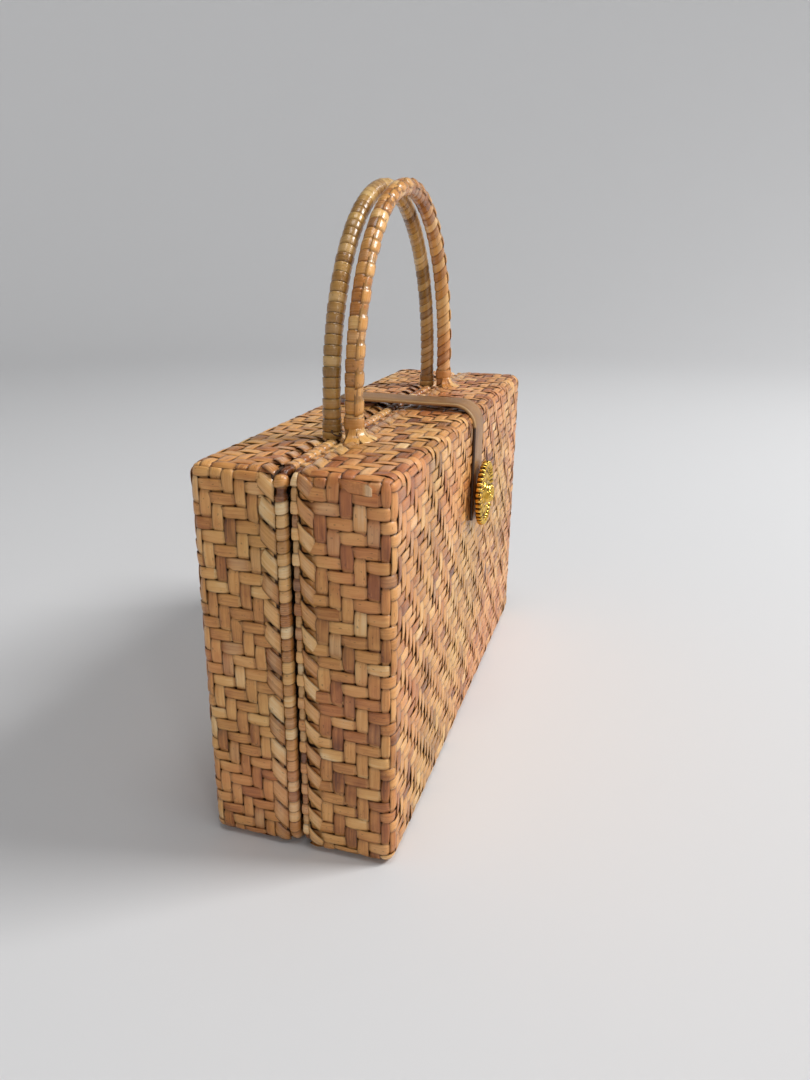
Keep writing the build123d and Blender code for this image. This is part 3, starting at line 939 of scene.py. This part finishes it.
# a cut strip end, pale at its tip, that stands up near the front tray's top corner
stripEnd = {
    "x": -152.1 * mm, "z": 180.0 * mm, "slope": 0.06,
    "rows": [           # y, how far it stands up and half its width in millimetres, and its tone
        (-16.0, -1.0, 2.6, 0.3), (-20.0, -0.5, 2.7, 0.3), (-24.0, 0.0, 2.7, 0.35), (-26.6, 0.35, 2.6, 0.5),
        (-28.2, 0.85, 2.5, 1.1), (-29.8, 1.7, 2.3, 1.9), (-31.2, 2.6, 1.7, 1.9),
    ],
}
rows = []
startY = stripEnd["rows"][0][0]
for y, lift, halfWidth, tone in stripEnd["rows"]:
    z = stripEnd["z"] + (y - startY) * stripEnd["slope"] * mm
    centre = Vector((stripEnd["x"] - lift * mm, y * mm, z))
    rows.append((centre, halfWidth * mm, Vector((0.0, 0.0, 1.0)), Vector((-1.0, 0.0, 0.0)), tone))
piece("front_strip_end", ribbons([rows]), "front_half", bodyStraw)

# a thin loop tied at the foot of the back handle
footLoop = {"centre": (-91.2, 8.0, 186.6), "reach": (2.4, 2.0, 1.0), "points": 24, "radius": 0.42 * mm}
loopPoints = []
for k in range(footLoop["points"]):
    turn = fullTurn * k / footLoop["points"]
    swing = (math.cos(turn), math.sin(turn), math.sin(turn))
    spot = zip(footLoop["centre"], footLoop["reach"], swing)
    loopPoints.append(Vector([(middle + reach * share) * mm for middle, reach, share in spot]))
values = {
    "Windings": 24, "Radius": footLoop["radius"], "Step": 0.04 * mm, "Notch": 0.05 * mm, "Crown": 0.03 * mm,
    "Closed": 1.0, "Sides": 8, "Seed": 97,
}
loopPath = pathMesh(loopPoints, closed=True)
grow("back_foot_loop", wound, values, innerStraw, "back_half", "straw_back_handle", loopPath)

lips = {
    "front": {
        "depth": 2.8 * mm, "inset": 1.9 * mm, "radius": 1.78 * mm, "square": 0.7, "slant": 0.0,
        "alternate": 0.45 * mm, "node": "front_lip_band",
    },
    "back": {
        "depth": -3.6 * mm, "inset": 2.8 * mm, "radius": 2.72 * mm, "square": 0.12, "slant": 0.15,
        "alternate": 0.0, "node": "back_rim_cord",
    },
}
lipPath = {
    "step": 0.8 * mm, "footRoom": 3.8 * mm,
    "slim": 0.8, "slimBelow": 8 * mm,         # the front lip turns past the back one along the base
    "loose": [(172.6 * mm, 175.4 * mm, 0.72), (175.4 * mm, 179.6 * mm, 1.13), (179.6 * mm, 182.4 * mm, 0.7)],
    "looseX": -140 * mm,                      # left of here the back cord's turns have come loose
}


def trayOutline(inset, steps):
    # a tray's outline in one plane, set in from its outer face: pairs of x and z
    radius = max(bag["corner"] - inset, bag["leastCorner"])
    w, h = bag["width"] / 2 - inset - radius, bag["height"] / 2 - inset - radius
    points = []
    for quarter, (sx, sz) in enumerate([(1, 1), (-1, 1), (-1, -1), (1, -1)]):
        for n in range(steps + 1):
            turn = math.radians(90 * (quarter + n / steps))
            x, z = sx * w + radius * math.cos(turn), bag["height"] / 2 + sz * h + radius * math.sin(turn)
            points.append((x, z))
    return points


def lipOutline(half, depth, inset):
    # close points along a lip from the middle of the base, with how much of its size is left at each
    points = trayOutline(inset, 8)
    dense = []
    for n, (x, z) in enumerate(points):
        nx, nz = points[(n + 1) % len(points)]
        steps = max(1, int(math.hypot(nx - x, nz - z) / lipPath["step"]))
        dense += [(x + (nx - x) * k / steps, z + (nz - z) * k / steps) for k in range(steps)]
    fromMiddle = [(round(abs(x) + z, 9), x) for x, z in dense]
    start = fromMiddle.index(min(fromMiddle))
    dense = dense[start:] + dense[:start]
    keep = []
    for x, z in dense:
        upper = z > bag["height"] / 2
        places, room = (bag["feetX"], lipPath["footRoom"]) if upper else (bag["hingesX"], bag["hingeRoom"])
        bare = any(abs(x - at) < room for at in places)
        size = lipPath["slim"] if half == "front" and z < lipPath["slimBelow"] else 1.0
        if half == "back" and x < lipPath["looseX"]:
            size = next((share for low, high, share in lipPath["loose"] if low < z < high), size)
        keep.append(0.0 if bare else size)
    return [Vector((x, bag["partingY"] - depth, z)) for x, z in dense], keep


for n, (half, facts) in enumerate(lips.items()):
    path = pathMesh(*lipOutline(half, facts["depth"], facts["inset"]), closed=True)
    values = {
        "Windings": stakes, "Radius": facts["radius"], "Step": 0.25 * mm, "Notch": 0.35 * mm,
        "Crown": 0.18 * mm, "Slant": facts["slant"], "Square": facts["square"],
        "Alternate": facts["alternate"], "Closed": 1.0, "Sides": 12, "Seed": 80 + n,
    }
    lip = grow(f"{half}_lip_windings", wound, values, borderStraw, halves[half]["body"], "straw_rim", path)
    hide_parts(facts["node"])
print("handles and lips wound")


# Walls under the weave, and the linings

shell = {"inset": 1.5 * mm, "thickness": 1.4 * mm}
liningFacts = {
    "lip": 9.6 * mm, "inset": 3.0 * mm, "thickness": 0.75 * mm, "flat": (0.368, 0.248), "area": 0.0865,
    "hemInset": 3.45 * mm, "hemRadius": 1.0 * mm, "hemFlatness": 0.85, "hemDrop": 0.2 * mm,
}


def trayRing(half, depth, inset):
    y = bag["partingY"] - halves[half]["turn"] * depth
    return [Vector((x, y, z)) for x, z in trayOutline(inset, 6)]


def traySkin(half, lip, inset):
    # rings from the lip along the walls and round the rounded edge to the flat face
    r = bag["rounding"] - inset
    rings = [trayRing(half, lip, inset)]
    for n in range(7):
        turn = math.radians(15 * n)
        depth = bag["depth"] - bag["rounding"] + r * math.sin(turn)
        rings.append(trayRing(half, depth, bag["rounding"] - r * math.cos(turn)))
    return rings


def trayShell(half, lip, inset, thickness):
    bm = bmesh.new()
    skins = [traySkin(half, lip, inset), traySkin(half, lip, inset + thickness)]
    outside, inside = ([[bm.verts.new(p) for p in ring] for ring in rings] for rings in skins)
    for layers in (outside, inside):
        bridge(bm, layers)
        bm.faces.new(layers[-1])
    bridge(bm, [outside[0], inside[0]])
    return finishMesh(bm, "shell")


def hemLoop(half):
    # the cloth's edge, turned over and sewn down all round
    radius = liningFacts["hemRadius"]
    bm = bmesh.new()
    rings = []
    for k in range(10):
        turn = fullTurn * k / 10
        depth = liningFacts["lip"] + liningFacts["hemDrop"] + radius * math.sin(turn)
        inset = liningFacts["hemInset"] + radius * math.cos(turn) * liningFacts["hemFlatness"]
        rings.append([bm.verts.new(p) for p in trayRing(half, depth, inset)])
    bridge(bm, rings + rings[:1])
    mesh = finishMesh(bm, "hem")
    clean(mesh)
    return mesh


for half, facts in halves.items():
    wall = trayShell(half, facts["lip"], shell["inset"], shell["thickness"])
    # the wall is near black, as painted shade where it shows through the gaps of the weave
    piece(f"{half}_wall", wall, facts["body"], innerStraw)
    cloth = trayShell(half, liningFacts["lip"], liningFacts["inset"], liningFacts["thickness"])
    lining = piece(f"{half}_lining_cloth", cloth, facts["body"], liningCloth)
    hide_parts(f"{half}_lining")
    hem = piece(f"{half}_lining_hem", hemLoop(half), facts["body"], liningCloth)
print("walls and linings made")


# Strap

strap = {
    "x": 2 * mm, "width": 21 * mm, "thickness": 1.8 * mm, "rearY": 33 * mm, "topZ": 187.8 * mm,
    "bend": 12 * mm, "bendY": -34.4 * mm, "bendZ": 175.8 * mm, "footZ": 123 * mm, "groove": 1.5 * mm,
    "rearShares": (0.55, 0.85, 1.0),      # of its width, because the rear corners are cut off
}


def strapLine():
    # from the rear end over the bend to the foot: y, z, and the direction that faces outwards
    rearY, bendY, bendZ, bend = (strap[name] for name in ("rearY", "bendY", "bendZ", "bend"))
    line = [(rearY + (bendY - rearY) * (k / 14), strap["topZ"], 0.0, 1.0) for k in range(15)]
    for k in range(1, 19):
        turn = math.radians(90 + 5 * k)
        c, s = math.cos(turn), math.sin(turn)
        line.append((bendY + bend * c, bendZ + bend * s, c, s))
    return line + [(bendY - bend, bendZ + (strap["footZ"] - bendZ) * k / 10, -1.0, 0.0) for k in range(1, 11)]


def strapSection():
    # across the strap in metres, and through it from -1 to 1, with a groove beside each edge
    w, g = strap["width"] / 2, strap["groove"]
    top = [(-w, 0.35), (-w + 0.3 * mm, 0.85), (-w + g * 0.7, 1.0), (-w + g, 0.8)]
    top += [(-w + g * 1.3, 1.0), (-w * 0.4, 1.06)]
    under = [(w, -0.5), (w - 0.5 * mm, -0.95), (w * 0.3, -1.0)]
    return [point for side in (top, under) for point in side + [(-a, b) for a, b in reversed(side)]]


def strapMesh():
    w, t = strap["width"] / 2, strap["thickness"] / 2
    rings = []
    for k, (y, z, ny, nz) in enumerate(strapLine()):
        narrow = strap["rearShares"][min(k, 2)]
        rim = 1.0 if z > strap["bendZ"] else -1.0      # painted highlight along the top edges, painted shadow along the edges down the front
        rings.append([])
        for a, b in strapSection():
            point = Vector((strap["x"] + a * narrow, bag["partingY"] + y + ny * b * t, z + nz * b * t))
            onRim = abs(a) > w - 0.4 * mm and b < 0.95
            rings[-1].append((point, rim if onRim else 0.0))
    bm = bmesh.new()
    addRings(bm, rings, ("edge",))
    return finishMesh(bm, "strap")


leatherStrap = piece("leather_strap", strapMesh(), "front_half", strapLeather)
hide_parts("strap")


# Gilt rosette: a turned relief with petals, a ring of beads and a ridged rim

rosette = {
    "x": 2 * mm, "z": 137 * mm, "sectors": 252, "petals": 12, "ridges": 36, "flutes": 8,
    "dome": 5.6, "collar": 7.0, "petalTip": 13.0, "beads": 14.6, "rim": 18.5,     # radii in millimetres
    "faceRadii": [
        0.6, 1.4, 2.2, 2.6, 3.2, 3.9, 4.5, 5.0, 5.35, 5.6, 5.9, 6.3, 6.7, 7.0, 7.3, 7.8, 8.4, 9.0, 9.6,
        10.2, 10.8, 11.4, 11.9, 12.3, 12.7, 13.0, 13.3, 13.6, 13.9, 14.2, 14.6, 14.9, 15.3, 15.8, 16.4,
        17.0, 17.6, 18.0,
    ],
    "side": [(18.4, 52.6), (18.5, 51.9), (18.5, 51.1), (18.4, 50.3), (18.0, 49.9)],   # radius and depth
    "sideNotch": 1.1,
    "back": [(16.6, 49.7), (5.0, 49.7), (5.0, 47.25)],
}


def ridgeLobe(turn):
    return abs(math.cos(turn * rosette["ridges"] / 2))


def rosetteRelief(r, turn):
    # how far forward the face lies in millimetres, and how much of a hollow it is, which the gilt finish
    # darkens as painted shade
    dome, collar, petalTip, beads = (rosette[name] for name in ("dome", "collar", "petalTip", "beads"))
    lobe = ridgeLobe(turn)
    if r <= dome:
        flute = abs(math.sin(turn * rosette["flutes"])) ** 4 if 2.2 < r < 5.2 else 0.0
        return 53.4 + 4.1 * math.sqrt(max(0.0, 1 - (r / 5.75) ** 2)) - 0.35 * flute, flute * 0.7
    if r <= collar:
        return 52.4 + 0.7 * math.sin(math.pi * (r - dome) / (collar - dome)), 0.2
    if r <= petalTip:
        share = (r - collar) / (petalTip - collar)
        fromSpine = abs((turn * rosette["petals"] / fullTurn) % 1.0 - 0.5)
        width = 0.5 * math.sin(math.pi * (0.16 + share * 0.8)) ** 0.7
        across = fromSpine / max(width, 0.02)
        rise = math.sqrt(max(0.0, 1 - across * across)) * math.sin(math.pi * (0.1 + share * 0.85))
        vein = fromSpine < 0.035 and 0.15 < share < 0.85
        return 51.2 + rise * 1.6 - (0.3 if vein else 0.0), 1.0 if vein else 1.0 - rise
    if r <= beads:
        swell = math.sin(math.pi * (r - petalTip) / (beads - petalTip))
        return 51.4 + 0.9 * lobe * swell, 1.0 - lobe * swell
    share = (r - beads) / (rosette["rim"] - beads)
    swell = math.sin(math.pi * min(share * 0.8 + 0.05, 1.0)) ** 0.6
    return 51.4 + (0.9 + 1.3 * lobe) * swell, (1.0 - lobe) * 1.2


def rosettePoint(r, turn, depth):
    x, z = rosette["x"] + r * mm * math.cos(turn), rosette["z"] + r * mm * math.sin(turn)
    return Vector((x, bag["partingY"] - depth * mm, z))


def rosetteMesh():
    turns = [fullTurn * n / rosette["sectors"] for n in range(rosette["sectors"])]
    rings = []
    for r in rosette["faceRadii"]:
        reliefs = [(turn, *rosetteRelief(r, turn)) for turn in turns]
        rings.append([(rosettePoint(r, turn, depth), hollow) for turn, depth, hollow in reliefs])
    for r, depth in rosette["side"]:
        rings.append([])
        for turn in turns:
            # the gaps between the ridges of the rim get painted shade as well
            gap = 1.0 - ridgeLobe(turn)
            rings[-1].append((rosettePoint(r - rosette["sideNotch"] * gap, turn, depth), gap * 1.5))
    for r, depth in rosette["back"]:
        rings.append([(rosettePoint(r, turn, depth), 0.0) for turn in turns])
    bm = bmesh.new()
    bm.verts.layers.float.new("recess")
    centre = bm.verts.new(rosettePoint(0, 0, rosetteRelief(0, 0)[0]))
    layers = addRings(bm, rings, ("recess",), closed=False)
    fan(bm, centre, layers[0])
    bm.faces.new(layers[-1])
    return finishMesh(bm, "rosette")


giltRosette = piece("gilt_rosette", rosetteMesh(), "front_half", gilt)
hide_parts("medallion")
print("strap and rosette made")


# Rivets through the hinge leaves

rivets = {
    "radius": 1.35 * mm, "height": 0.3 * mm, "topShare": 0.75, "sides": 14,
    "z": 0.32 * mm, "reach": 7.0 * mm, "spread": 8 * mm,
}


def rivetTree():
    tree, given = startTree("rivets", {"Radius": 0.0014, "Height": 0.0003})
    cone = add(tree, "GeometryNodeMeshCone", {
        "Vertices": rivets["sides"], "Radius Top": given["Radius"] * rivets["topShare"],
        "Radius Bottom": given["Radius"], "Depth": given["Height"],
    }).outputs["Mesh"]
    inputs = {"Points": given["Geometry"], "Instance": cone, "Rotation": (math.pi, 0.0, 0.0)}
    copies = add(tree, "GeometryNodeInstanceOnPoints", inputs)
    endTree(tree, copies.outputs[0], given)
    return tree


rivetMaker = rivetTree()
for half, facts in halves.items():
    y = bag["partingY"] - facts["turn"] * rivets["reach"]
    places = [at + step * rivets["spread"] for at in bag["hingesX"] for step in (-1, 0, 1)]
    path = pathMesh([Vector((x, y, rivets["z"])) for x in places])
    values = {"Radius": rivets["radius"], "Height": rivets["height"]}
    name = f"{half}_hinge_rivets"
    grow(name, rivetMaker, values, dullSteel, facts["body"], "hinge_brass", path, smooth=False)
print("rivets set")


# Carried-over metal and leather

carriedOver = {
    "back_hinge_leaf_left": dullBrass,
    "back_hinge_leaf_right": dullBrass,
    "front_hinge_leaf_left": dullBrass,
    "front_hinge_leaf_right": dullBrass,
    "medallion_washer": dullBrass,
    "hinge_pin_left": dullSteel,
    "hinge_pin_right": dullSteel,
    "catch_magnet": dullSteel,
    "strap_catch_disc": dullSteel,
    "medallion_post": gilt,
    "catch_tab": tabLeather,
}
for name, material in carriedOver.items():
    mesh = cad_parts[name].data
    mesh.materials.clear()
    mesh.materials.append(material)
print("metal and leather painted")


# Floor, light and camera

room = {
    "floor": (0.68, 0.68, 0.685), "z": -0.2 * mm, "reach": 3.0, "bend": 1.2, "height": 1.7, "sectors": 96,
    "sky": 0.14, "skyColour": (0.95, 0.97, 1.0),
}
lamps = {
    "window": {"at": (0.7, -2.0, 2.05), "size": 0.9, "power": 66.0},
    "overhead": {"at": (-0.3, -0.3, 2.9), "size": 1.2, "power": 23.0},
    "side": {"at": (-1.9, -1.6, 1.3), "size": 0.3, "power": 4.5},
}
lampTarget = Vector((0, 0, 0.12))


def sweptRoom():
    # a pale floor that turns up into the backdrop without an edge
    profile = [(0.4 * k, 0.0) for k in range(1, 5)]
    for k in range(13):
        turn = math.radians(7.5 * k)
        out = room["reach"] - room["bend"] + room["bend"] * math.sin(turn)
        profile.append((out, room["bend"] * (1 - math.cos(turn))))
    profile.append((room["reach"], room["height"]))
    bm = bmesh.new()
    middle = bm.verts.new((0.0, 0.0, 0.0))
    turns = [fullTurn * n / room["sectors"] for n in range(room["sectors"])]
    rings = []
    for r, z in profile:
        rings.append([bm.verts.new((r * math.cos(turn), r * math.sin(turn), z)) for turn in turns])
    fan(bm, middle, rings[0])
    bridge(bm, rings[::-1])        # from the top down, so that it faces the bag
    mesh = finishMesh(bm, "floor", turnOut=False)
    mesh.polygons.foreach_set("use_smooth", [True] * len(mesh.polygons))
    return mesh


def floorAndLight():
    scene = bpy.context.scene
    floor = bpy.data.objects.new("floor", sweptRoom())
    scene.collection.objects.link(floor)
    floor.location.z = room["z"]
    material, tree = startMaterial("paleFloor")
    fill(tree, "Principled BSDF", Base_Color=(*room["floor"], 1.0), Roughness=0.9, Specular_IOR_Level=0.2)
    floor.data.materials.append(material)
    world = bpy.data.worlds.new("studio")
    world.use_nodes = True
    fill(world.node_tree, "Background", Color=(*room["skyColour"], 1.0), Strength=room["sky"])
    scene.world = world
    for name, facts in lamps.items():
        lamp = bpy.data.lights.new(name, "AREA")
        lamp.energy = facts["power"]
        lamp.size = facts["size"]
        obj = bpy.data.objects.new(name, lamp)
        obj.location = facts["at"]
        obj.rotation_euler = (lampTarget - Vector(facts["at"])).to_track_quat("-Z", "Y").to_euler()
        scene.collection.objects.link(obj)


view = {
    "at": (-0.43866, -0.12854, 0.26699), "azimuth": -73.555, "elevation": 19.637, "roll": 0.581,
    "lens": 27.03, "sensor": 36.0,
}


def makeCamera():
    a, e, roll = (math.radians(view[name]) for name in ("azimuth", "elevation", "roll"))
    back = Vector((math.sin(a) * math.cos(e), -math.cos(a) * math.cos(e), math.sin(e)))
    right = Vector((math.cos(a), math.sin(a), 0))
    up = back.cross(right)
    c, s = math.cos(roll), math.sin(roll)
    turned = Matrix((c * right + s * up, c * up - s * right, back)).transposed().to_4x4()
    camera = bpy.data.cameras.new("camera")
    camera.sensor_fit = "VERTICAL"
    camera.sensor_height = view["sensor"]
    camera.sensor_width = view["sensor"]
    camera.lens = view["lens"]
    camera.clip_start = 0.01
    obj = bpy.data.objects.new("camera", camera)
    obj.matrix_world = Matrix.Translation(view["at"]) @ turned
    bpy.context.scene.collection.objects.link(obj)
    bpy.context.scene.camera = obj


floorAndLight()
makeCamera()
bpy.context.scene.view_settings.view_transform = "Standard"
print("stage set")
